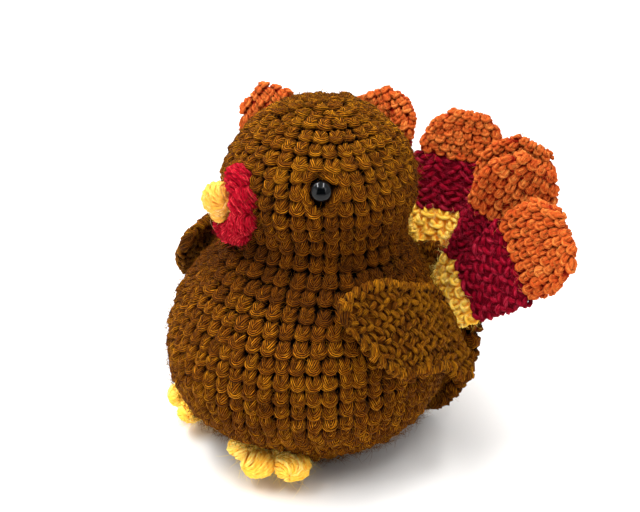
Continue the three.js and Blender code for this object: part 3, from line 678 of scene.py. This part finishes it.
def onFeather(angle, roll, rootShare, lengthShare, tipShare, widthShare, rootFront, tipFront,
              bandShare, aside):
    centre, tailAcross, tailUp, tailFront = tailAxes()
    a, r = math.radians(angle), math.radians(roll)
    axis = tailAcross * math.sin(a) + tailUp * math.cos(a)
    flat = tailAcross * math.cos(a) - tailUp * math.sin(a)
    across = flat * math.cos(r) - tailFront * math.sin(r)
    normal = tailFront * math.cos(r) + flat * math.sin(r)
    root = centre + tailAcross * aside + axis * rootShare * tail["discHalfHeight"]
    last = tail["length"] - tail["endRoll"]

    # u goes once round and s is mm from the root to the tip, whose end is rolled over.
    def at(u, s):
        held = np.clip(s, 0, last)
        # The tip takes up part of a band's own width where they meet.
        fade = np.clip(1 - (s - bandEnd) / tail["blend"], 0, 1) * tail["carried"]
        ownShare = np.where(s < bandEnd, bandShare, 1 + fade * (bandShare - 1))
        half = featherHalfWidth(held) * widthShare * ownShare - tail["edge"]
        x, z, nx, nz = aroundFlat(u, half, np.minimum(tail["layer"], half))
        bend = np.clip((s - last) / tail["endRoll"], 0, 1) * math.pi / 2
        z, x = z * np.cos(bend), x * (0.75 + 0.25 * np.cos(bend))
        s = np.minimum(s, last) + tail["endRoll"] * 0.7 * np.sin(bend)
        slope = (featherHalfWidth(held + 0.3) - featherHalfWidth(held - 0.3)) / 0.6 * widthShare
        reach = np.minimum(s, bandEnd) * lengthShare + np.maximum(0, s - bandEnd) * tipShare
        front = (rootFront + (tipFront - rootFront) * s / tail["length"]) * tail["frontUnit"]
        points = root + going((axis, reach), (tailFront, front), (across, x), (normal, z))
        normals = going((across, nx * np.cos(bend)), (normal, nz * np.cos(bend)),
                        (axis, np.clip(-slope, -0.3, 2.0) * np.abs(nx) + np.sin(bend)))
        return points, unit(normals)

    return at


def workFeather(index, row):
    at = onFeather(*row)
    lengthShare, tipShare, widthShare = row[3:6]
    edges = [-tail["sewnIn"], tail["rootLength"], bandEnd, tail["length"]]
    for part, (form, low, high) in enumerate(zip(featherParts, edges[:-1], edges[1:])):
        skein = Skein()
        height = (high - low) / form["rows"]
        tallShare = tipShare if form["name"] == "tip" else lengthShare
        for r in range(form["rows"]):
            s = low + (high - low) * (r + 0.5) / form["rows"]
            held = min(s, tail["length"] - tail["endRoll"])
            half = float(featherHalfWidth(held)) * widthShare - tail["edge"]
            whole = 4 * max(half - tail["layer"], 0) + fullTurn * tail["layer"]
            count = max(4, round(whole / form["stitchWidth"]))
            u = (np.arange(count) + 0.5 * (r % 2) + 0.25) / count
            slants = np.where((np.arange(count) + r) % 2, *form["slants"])
            workStitches(skein, at, u, s, 1 / count, height, whole / count, height * tallShare,
                         1000 + index * 40 + part * 10 + r, form["yarnScale"], tail["sunk"], form["style"],
                         slants, form["unruly"])
        v = np.linspace(low + 0.3, min(high, tail["length"] - 1.5), 7)
        skein.lining(at, 20, v, form["depth"], form["raised"])
        fibres = int(fuzz["perMm"] * (high - low) * form["fuzz"])
        addFuzz(skein, at, (low, high), fibres, index * 5 + part, 1.1)
        node = f"feather_{index + 1}_{form['name']}"
        skein.piece(node + "_stitches", form["yarn"], form["slot"], "figure", node)


for index, row in enumerate(feathers):
    workFeather(index, row)
print("feathers worked")


# The disc is worked in rounds from its middle, a back and a front layer joined at the rim.
disc = {"stitchWidth": 4.3, "roundHeight": 4.1, "yarnScale": 0.9, "depth": 0.8, "raised": -0.2, "fuzz": 700}
discRim = (tail["discHalfWidth"] + tail["discHalfHeight"]) / 2 - tail["edge"] - tail["layer"]
discWhole = 2 * discRim + math.pi * tail["layer"]


def onDisc(u, v):
    centre, across, up, front = tailAxes()
    share = np.clip(np.minimum(v, discWhole - v) / discRim, 0, 1)
    bend = np.clip((v - discRim) / tail["layer"], 0, math.pi)
    x, y = np.cos(fullTurn * u), np.sin(fullTurn * u)
    reachX, reachY = ((tail[half] - tail["edge"] - tail["layer"]) * share + tail["layer"] * np.sin(bend)
                      for half in ("discHalfWidth", "discHalfHeight"))
    points = centre + going((across, reachX * x), (up, reachY * y), (front, -tail["layer"] * np.cos(bend)))
    normals = going((across, np.sin(bend) * x), (up, np.sin(bend) * y), (front, -np.cos(bend)))
    return points, unit(normals)


def workDisc():
    skein = Skein()
    count = round(discWhole / disc["roundHeight"])
    height = discWhole / count
    for r in range(count):
        v = discWhole * (r + 0.5) / count
        reach = min(v, discRim, discWhole - v)
        stitches = max(6, round(fullTurn * reach / disc["stitchWidth"]))
        width = fullTurn * max(reach, 1.5) / stitches
        workStitches(skein, onDisc, (np.arange(stitches) + 0.5) / stitches, v, 1 / stitches, height,
                     width, height, 2000 + r, disc["yarnScale"], tail["sunk"])
    skein.lining(onDisc, 40, np.linspace(1.0, discWhole - 1.0, 13), disc["depth"], disc["raised"])
    addFuzz(skein, onDisc, (4, discWhole - 4), disc["fuzz"], 77)
    skein.piece("tail_disc_stitches", brownYarn, "brown_yarn", "figure", "tail_disc")


workDisc()
print("disc worked")


# Wings: flat two-layer flaps worked in rows along the seam, with a corded edge. Each side has its
# sign, its turn in degrees and its rise as a share of the figure's height.
wing = {
    "left": (1, 5, 0.0), "right": (-1, 16, 0.0037),
    "seamLength": 42, "drop": 27, "bulge": 5.6, "inset": 2, "layer": 1.15,
    "seamFront": (0.862, -0.2956, 0.5826), "seamBack": (0.665, 0.7389, 0.5),
    "tip": (1.0468, 0.8005, 0.2844), "along": [0, 0.06, 0.2, 0.36, 0.5, 0.64, 0.79, 0.93, 1.07, 1.16],
    "start": [0, -0.1, -0.14, -0.12, -0.05, -0.02, 0, 0.03, 0.15, 0.5],
    "end": [0.16, 0.42, 0.72, 0.86, 0.83, 0.88, 0.88, 1.01, 1.03, 0.8],
    "columnWidth": 2.4, "rowHeight": 2.25, "yarnScale": 0.82, "sunk": 0.35, "slants": (0.8, -0.75),
    # The wing's stitches are lighter than the body's of the same yarn: painted light where the flap stands
    # out into the lamps.
    "unruly": 1.6, "tint": 0.09, "finer": 1.5, "endMargin": 0.8,
    "rimInset": 0.5, "rimFrom": 0.9, "rimStep": 2.1, "rimWidth": 4.2, "rimLeans": (0.5, -0.8),
    "knotAt": 0.2, "knotOver": 0.9, "knotWide": 1.9, "knotStrands": 9, "knotThick": 0.7,
    "depth": 0.5, "raised": 0.35, "fuzz": 600,
}
wingReach = wing["seamLength"] * wing["along"][-1]


# Gives a point from mm along the seam, down from it and out of the flap.
def onWing(side, turn, rise):
    scale = np.array([figure["bodyRadius"], figure["bodyRadius"], figure["height"]])
    front, back, tip = (np.array(wing[k]) * scale for k in ("seamFront", "seamBack", "tip"))
    seamWay = unit(back - front)
    down = tip - front
    flapDown = unit(down - seamWay * np.dot(down, seamWay))
    flapOut = np.cross(flapDown, seamWay)
    c, s = math.cos(math.radians(turn)), math.sin(math.radians(turn))

    def spot(along, drop, out):
        bow = 1 - (2 * along / wing["seamLength"] - 1) ** 2
        fade = np.maximum(0, 1 - drop / wing["drop"])
        lift = wing["bulge"] * bow * (0.25 + 0.75 * fade) - wing["inset"] + out
        p = front + going((seamWay, along), (flapDown, drop), (flapOut, lift))
        x, y, z = p[..., 0] * side, p[..., 1], p[..., 2] + rise * figure["height"]
        return np.stack([x * c - y * s, x * s + y * c, z], axis=-1)

    return spot


# The middle, half width and half thickness of the flap, at places in mm along the seam.
def wingForm(v):
    share = np.clip(v, 0.3, wingReach - wing["endMargin"]) / wing["seamLength"]
    table = np.linspace(0, len(wing["along"]) - 1, 200)
    at = np.interp(share, catmull(wing["along"], 200), table)
    start, end = (np.interp(at, table, catmull(wing[edge], 200)) * wing["drop"]
                  for edge in ("start", "end"))
    half = np.maximum((end - start) / 2 - wing["rimInset"], 0.4)
    return (start + end) / 2, half, np.minimum(wing["layer"], half)


def workWing(label):
    side = wing[label][0]
    spot = onWing(*wing[label])
    seed = 3100 if side > 0 else 3000

    def at(u, v):
        v = np.clip(v, -0.6, wingReach - wing["endMargin"])
        middle, half, thick = wingForm(v)
        x, z, nx, nz = aroundFlat(u, half, thick)
        p = spot(v, middle + x, z)
        return p, unit(spot(v, middle + x + nx, z + nz) - p)

    skein = Skein()
    rows = round(wingReach / wing["rowHeight"])
    height = wingReach / rows
    for r in range(rows):
        v = wingReach * (r + 0.5) / rows
        _, half, thick = (float(size) for size in wingForm(v))
        whole = 4 * (half - thick) + fullTurn * thick
        count = max(4, round(whole / wing["columnWidth"]))
        u = (np.arange(count) + 0.25 + 0.5 * (r % 2)) / count
        slants = np.where((np.arange(count) + r) % 2, *wing["slants"])
        workStitches(skein, at, u, v, 1 / count, height, whole / count, height, seed + r, wing["yarnScale"],
                     wing["sunk"], "basket", slants, wing["unruly"], wing["tint"], wing["finer"])
    # The rim: strands laid slantwise over the top and the bottom edge.
    v = np.arange(wing["rimFrom"], wingReach - 1.0, wing["rimStep"])
    _, half, thick = wingForm(v)
    flat, cap = half - thick, math.pi * thick
    whole = 4 * flat + 2 * cap
    for edge, place in enumerate(((2 * flat + cap / 2) / whole, 1 - cap / 2 / whole)):
        workStitches(skein, at, place, v, wing["rimWidth"] / whole, wing["rimStep"], wing["rimWidth"],
                     wing["rimStep"], seed + 201 + edge, 0.8, -0.1, "basket", wing["rimLeans"][edge], 0.8,
                     wing["tint"], wing["finer"])
    # The front end is closed with a knot.
    middle, half, _ = (float(size) for size in wingForm(0.3))
    centre, lower, outer = spot(np.full(3, wing["knotAt"]), middle + np.array([0, 1, 0]),
                                np.array([0, 0, 1]))
    pole, wide = unit(lower - centre), unit(outer - centre)
    long = half + wing["rimInset"] + wing["knotOver"]
    bobble(skein, centre, (pole, wide, np.cross(pole, wide)), (long, wing["knotWide"], wing["knotWide"]),
           wing["knotStrands"], wing["knotThick"], 3400 + side)
    skein.lining(at, 24, np.linspace(0.5, wingReach - 1.2, 13), wing["depth"], wing["raised"])
    addFuzz(skein, at, (0.5, wingReach - 1), wing["fuzz"], 78 + side)
    skein.piece(f"wing_{label}_stitches", brownYarn, "brown_yarn", f"{label}_wing", f"wing_{label}")


workWing("left")
workWing("right")
print("wings worked")


# The beak: a big bobble and a small one over it, on a core. Each bobble is how far it stands up and
# out, half its length, width and depth, its strands and their thickness, and how far it twists.
beak = {
    "length": 11, "elevation": 3.5, "sink": 1.2, "pole": (0.95, -0.04, -0.22),
    "bobbles": [(-0.9, 0.0, (5.0, 4.9, 4.9), 18, 0.85, 1.6), (3.9, -0.6, (2.8, 2.5, 2.8), 12, 0.65, 0.6)],
    "core": [(0.72, -4.6), (2.52, -3.6), (3.42, -1.8), (3.6, 0), (3.42, 1.8), (2.52, 3.4), (0.72, 4.2)],
}
# The snood: a strip of bobbles round the left side of the beak.
snood = {
    "bobbles": 5, "radius": 3.7, "swell": 1.13, "overlap": 1.6, "strands": 17, "thick": 0.78, "twist": 2.3,
    "sweepRadius": 9, "startAngle": 118, "sweepAngle": 196, "standoff": 1.9, "slantUp": 0.45,
    "slantIn": 0.25,
    "core": [(0.5, -2.6), (2.0, -1.8), (2.5, 0), (2.0, 1.8), (0.5, 2.6)],
}


def workBeak():
    skein = Skein()
    foot, out, side, up = headFrame(0, beak["elevation"])
    centre = foot + out * (beak["length"] / 2 - beak["sink"])
    pole = unit(np.array(beak["pole"]) @ np.array([side, out, up]))
    across = unit(np.cross(pole, up))
    for i, (rise, reach, halves, strands, thick, twist) in enumerate(beak["bobbles"]):
        wide = up if i else np.cross(across, pole)
        bobble(skein, centre + up * rise + out * reach, (pole, wide, across), halves, strands, thick,
               41 + i, twist)
    skein.shell(turnedGrid(centre, out, side, up, beak["core"], 20), 0.1)
    skein.piece("beak_bobble", beakLitYellowYarn, "yellow_yarn", "figure", "beak")


def workSnood():
    skein = Skein()
    foot, out, side, up = headFrame(0, beak["elevation"])
    dip = figure["headRadius"] - math.sqrt(figure["headRadius"] ** 2 - snood["sweepRadius"] ** 2)
    halfWide = snood["radius"] * snood["swell"]
    halfSweep = math.radians(snood["sweepAngle"] / snood["bobbles"] / 2)
    halfLong = halfSweep * snood["sweepRadius"] + snood["overlap"]
    for i in range(snood["bobbles"]):
        angle = math.radians(snood["startAngle"] - snood["sweepAngle"] * (i + 0.5) / snood["bobbles"])
        radial = side * math.cos(angle) + up * math.sin(angle)
        along = side * math.sin(angle) - up * math.cos(angle)
        centre = foot + radial * snood["sweepRadius"] + out * (snood["standoff"] - dip)
        pole = unit(along + radial * snood["slantUp"] - out * snood["slantIn"])
        wide = unit(np.cross(pole, out))
        bobble(skein, centre, (pole, wide, np.cross(wide, pole)), (halfLong, halfWide, halfWide),
               snood["strands"], snood["thick"], 60 + i, snood["twist"])
        skein.shell(turnedGrid(centre, out, along, radial, snood["core"], 14), 0.1)
    skein.piece("snood_bobbles", scarletYarn, "scarlet_yarn", "figure", "snood")


workBeak()
workSnood()
print("beak and snood worked")


# Feet: three toes each, every toe two bobbles of yarn. A toe is its turn from straight ahead and its
# shares of length and width; a bobble is its place along the toe, its size and its slant; a foot
# is its side, its bearing, shares of the body's radius and the height, and mm that it is fuller by.
feet = {
    "toeLength": 12.5, "toeHalfWidth": 4.4, "toeHalfHeight": 3, "sunkShare": 0.12,
    "toes": [(-72, 0.95, 0.85), (-6, 1.0, 0.95), (50, 1.14, 1.0)],
    "bobbles": [(0.3, 1.0, 0.5), (0.7, 0.98, -0.55)], "pole": 0.85, "longShare": 0.36, "fuller": 1.0,
    "strands": 15, "thick": 0.85, "twist": 1.3, "endShape": 3.2, "depth": 0.8, "raised": 0.2, "fuzz": 60,
    "left": (1, 33, 0.495, 0.052, 1.6), "right": (-1, -56, 0.76, 0.05, 1.0),
}


# u goes round the toe and v is mm along it.
def onToe(start, ahead, across, up, length, halfWide, halfHigh):
    def at(u, v):
        t = np.clip(v / length * 2 - 1, -0.97, 0.97)
        reach = (1 - np.abs(t) ** feet["endShape"]) ** 0.5
        east, north = np.cos(fullTurn * u), np.sin(fullTurn * u)
        points = start + going((ahead, v), (across, east * halfWide * reach),
                               (up, north * halfHigh * reach))
        normals = going((across, east / halfWide), (up, north / halfHigh), (ahead, t ** 3 / length * 3))
        return points, unit(normals)

    return at


def workFoot(label):
    side, bearing, reachShare, liftShare, swell = feet[label]
    b = math.radians(bearing)
    reach, halfHigh = reachShare * figure["bodyRadius"], feet["toeHalfHeight"]
    lift = liftShare * figure["height"] + halfHigh * (1 - feet["sunkShare"])
    centre = np.array([math.sin(b) * reach, -math.cos(b) * reach, lift])
    up = np.array([0.0, 0.0, 1.0])
    skein = Skein()
    for i, (turnShare, lengthShare, widthShare) in enumerate(feet["toes"]):
        turn = b + math.radians(side * turnShare)
        ahead = np.array([math.sin(turn), -math.cos(turn), 0.0])
        across = np.array([math.cos(turn), math.sin(turn), 0.0])
        length = feet["toeLength"] * lengthShare + swell
        halfWide = feet["toeHalfWidth"] * widthShare + swell * 0.6
        for share, size, slant in feet["bobbles"]:
            middle = centre + ahead * length * share + up * 0.5 * (1 - share)
            pole = unit(ahead * feet["pole"] + across * slant * side)
            halves = np.array([length * feet["longShare"], halfWide, halfHigh + feet["fuller"]]) * size
            seed = 4000 + 10 * i + int(share * 10) + (50 if side > 0 else 0)
            bobble(skein, middle, (pole, np.cross(pole, up), up), halves, feet["strands"],
                   feet["thick"], seed, feet["twist"])
        at = onToe(centre, ahead, across, up, length, halfWide, halfHigh)
        skein.lining(at, 16, np.linspace(0.6, length - 0.6, 9), feet["depth"], feet["raised"])
        addFuzz(skein, at, (1, length), feet["fuzz"], 90 + i, 1.6)
    skein.piece(f"foot_{label}_toes", yellowYarn, "yellow_yarn", "figure", f"foot_{label}")


workFoot("left")
workFoot("right")
print("feet worked")


# Moulded plastic: its roughness varies a little where it has been touched.
def makePlastic(name, colour, smearScale, smearDetail, roughFrom, roughTo, specular):
    material, tree = newMaterial(name)
    place = addNode(tree, "TexCoord")
    smear = addNode(tree, "TexNoise", Vector=place.outputs["Object"], Scale=smearScale,
                    Detail=smearDetail)
    rough = addNode(tree, "MapRange", Value=smear.outputs["Fac"], To_Min=roughFrom,
                    To_Max=roughTo)
    addSurface(tree, Base_Color=linear(colour), Roughness=rough.outputs["Result"], IOR=1.49,
               Specular_IOR_Level=specular)
    return material


# Safety eyes: black plastic, polished, so it is smooth and mirrors the lamps.
eyePlastic = makePlastic("blackAcrylicPlastic", "#030405", 900.0, 1.0, 0.03, 0.08, 0.24)


def placeEye(side, name, node):
    origin, out, across, up = headFrame(side * eye["bearing"], eye["elevation"])
    radius, back = eye["radius"], -eye["recess"]
    rows = [(0.05, back), (radius - 0.15, back), (radius, back + 0.12), (radius, back + eye["rim"] * 0.8)]
    for s in np.linspace(0.08, 0.995, 14):
        rows.append((radius * math.sqrt(1 - s ** 3), back + eye["rim"] + eye["rise"] * s))
    skein = Skein()
    skein.shell(turnedGrid(origin, out, across, up, rows, 48), 1.0)
    skein.piece(name, eyePlastic, "eye_black", "figure", node)


placeEye(1, "eye_left_dome", "eye_left")
placeEye(-1, "eye_right_dome", "eye_right")
print("eyes set")


# Eye washers: polypropylene, white and satin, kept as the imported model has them.
washerPlastic = makePlastic("whitePolypropylene", "#e8e7e2", 400.0, 2.0, 0.4, 0.55, 0.5)
for washer in ("eye_washer_left", "eye_washer_right"):
    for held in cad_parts[washer].material_slots:
        held.link = "OBJECT"
        held.material = washerPlastic


# The stuffing: loose crimped polyester, white and matt, in soft uneven lumps.
fill = {"inset": 5.0, "lump": 0.9, "rings": 30, "facets": 48, "margin": 3}


def makeFibrefill():
    material, tree = newMaterial("polyesterFibrefill")
    place = addNode(tree, "TexCoord")
    # Fibres are 0.03 mm across, too fine to show, so they are drawn 1 mm apart.
    wisps = addNode(tree, "TexNoise", Vector=place.outputs["Object"], Scale=900.0, Detail=4.0,
                    Distortion=2.0)
    ramp = setRamp(addNode(tree, "ValToRGB", Fac=wisps.outputs["Fac"]),
                   [(0.35, linear("#d8d6d0")), (0.65, linear("#f6f5f2"))])
    bump = addNode(tree, "Bump", Height=wisps.outputs["Fac"], Strength=0.6, Distance=0.0005)
    addSurface(tree, Base_Color=ramp.outputs["Color"], Roughness=0.95, Normal=bump.outputs["Normal"],
               Specular_IOR_Level=0.1)
    return material


def fillFigure():
    v = np.linspace(fill["margin"], profileLength[-1] - fill["margin"], fill["rings"])[:, None]
    u, v = np.broadcast_arrays(np.arange(fill["facets"])[None, :] / fill["facets"], v)
    points, normals = onFigure(u, v)
    wander = 4 * np.sin(fullTurn * u)
    lumps = fill["lump"] * np.sin(u * fullTurn * 7 + v * 0.3) * np.sin(v * 0.5 + wander)
    skein = Skein()
    skein.shell(points - normals * (fill["inset"] + lumps)[..., None], 1.0)
    made = skein.piece("fibrefill", makeFibrefill(), "fibrefill", "figure", "stuffing")


fillFigure()
print("washers and stuffing made")


# Soft studio light: a room that is brighter overhead than near the floor, two narrow lamps above,
# which the eyes mirror, a wide one behind on the left and two weak wide ones. A lamp is its name,
# place in metres, power and size.
studio = {
    "worldLow": 0.22, "worldHigh": 1.8, "aimHeight": 0.05,
    "floorHalf": 3.0, "floorColour": "#f8f6f2", "floorSeen": "#d6d5d3",
    "clothColour": "#0c0c0d", "clothAway": 0.75, "clothLow": 0.12, "clothHigh": 0.75,
    "clothHalfWidth": 0.36,
    "lamps": [
        ("left_strip", (-0.1, -0.6, 1.25), 17.0, (0.16, 1.2)),
        ("right_strip", (0.5, 0.1, 1.3), 13.0, (0.16, 1.2)),
        ("back_left", (-0.8, -0.35, 1.2), 16.0, (1.1, 1.1)),
        ("front_low", (0.13, -1.35, 0.35), 4.0, (1.0, 1.0)),
        ("right", (1.35, -0.35, 1.0), 5.5, (0.9, 0.9)),
    ],
}


# Mixes what the camera sees, straight or through a mirror or glass, with what lights the part.
def mixSeen(tree, lighting, seen):
    path = addNode(tree, "LightPath")
    direct = path.outputs["Is Camera Ray"]
    for kind in ("Is Glossy Ray", "Is Transmission Ray"):
        direct = addMaths(tree, "MAXIMUM", direct, path.outputs[kind])
    return addNode(tree, "MixShader", i0=direct, i1=lighting, i2=seen).outputs["Shader"]


def lightRoom():
    world = bpy.data.worlds.new("studio")
    bpy.context.scene.world = world
    world.use_nodes = True
    tree = world.node_tree
    tree.nodes.clear()
    place = addNode(tree, "TexCoord")
    parts = addNode(tree, "SeparateXYZ", Vector=place.outputs["Generated"])
    level = addNode(tree, "MapRange", Value=parts.outputs["Z"], From_Min=0.0, From_Max=1.0,
                    To_Min=studio["worldLow"], To_Max=studio["worldHigh"])
    dim = addNode(tree, "Background", Color=(1, 1, 1, 1), Strength=level.outputs["Result"])
    white = addNode(tree, "Background", Color=(1, 1, 1, 1), Strength=1.0)
    mixed = mixSeen(tree, dim.outputs["Background"], white.outputs["Background"])
    addNode(tree, "OutputWorld", Surface=mixed)


def placeSheet(name, corners, material):
    mesh = bpy.data.meshes.new(name)
    mesh.from_pydata(corners, [], [(0, 1, 2, 3)])
    mesh.materials.append(material)
    sheet = addObject(name, mesh)
    return sheet


def makeStage():
    lightRoom()
    material, tree = newMaterial("paperSweep")
    paper = addNode(tree, "BsdfDiffuse", Color=linear(studio["floorColour"]))
    seen = addNode(tree, "BsdfDiffuse", Color=linear(studio["floorSeen"]))
    mixed = mixSeen(tree, paper.outputs["BSDF"], seen.outputs["BSDF"])
    addNode(tree, "OutputMaterial", Surface=mixed)
    half = studio["floorHalf"]
    placeSheet("floor", [(-half, -half, 0), (half, -half, 0), (half, half, 0), (-half, half, 0)], material)

    # A dark cloth behind the lens, which glossy pieces mirror.
    a = math.radians(view["azimuth"])
    ahead = Vector((math.sin(a), -math.cos(a), 0))
    material, tree = newMaterial("blackCloth")
    cloth = addNode(tree, "BsdfDiffuse", Color=linear(studio["clothColour"]))
    addNode(tree, "OutputMaterial", Surface=cloth.outputs["BSDF"])
    side = Vector((ahead.y, -ahead.x, 0)) * studio["clothHalfWidth"]
    foot, head = (ahead * studio["clothAway"] + Vector((0, 0, studio[k]))
                  for k in ("clothLow", "clothHigh"))
    sheet = placeSheet("cloth", [foot - side, foot + side, head + side, head - side], material)
    sheet.visible_camera = False

    for name, place, power, (wide, long) in studio["lamps"]:
        lamp = bpy.data.lights.new(name, "AREA")
        lamp.shape, lamp.size, lamp.size_y, lamp.energy = "RECTANGLE", wide, long, power
        held = addObject(name, lamp)
        out = (Vector(place) - Vector((0, 0, studio["aimHeight"]))).normalized()
        across = ahead.cross(out).normalized()
        turned = Matrix((across, out.cross(across), out)).transposed().to_4x4()
        held.matrix_world = Matrix.Translation(Vector(place)) @ turned


makeStage()
print("stage lit")
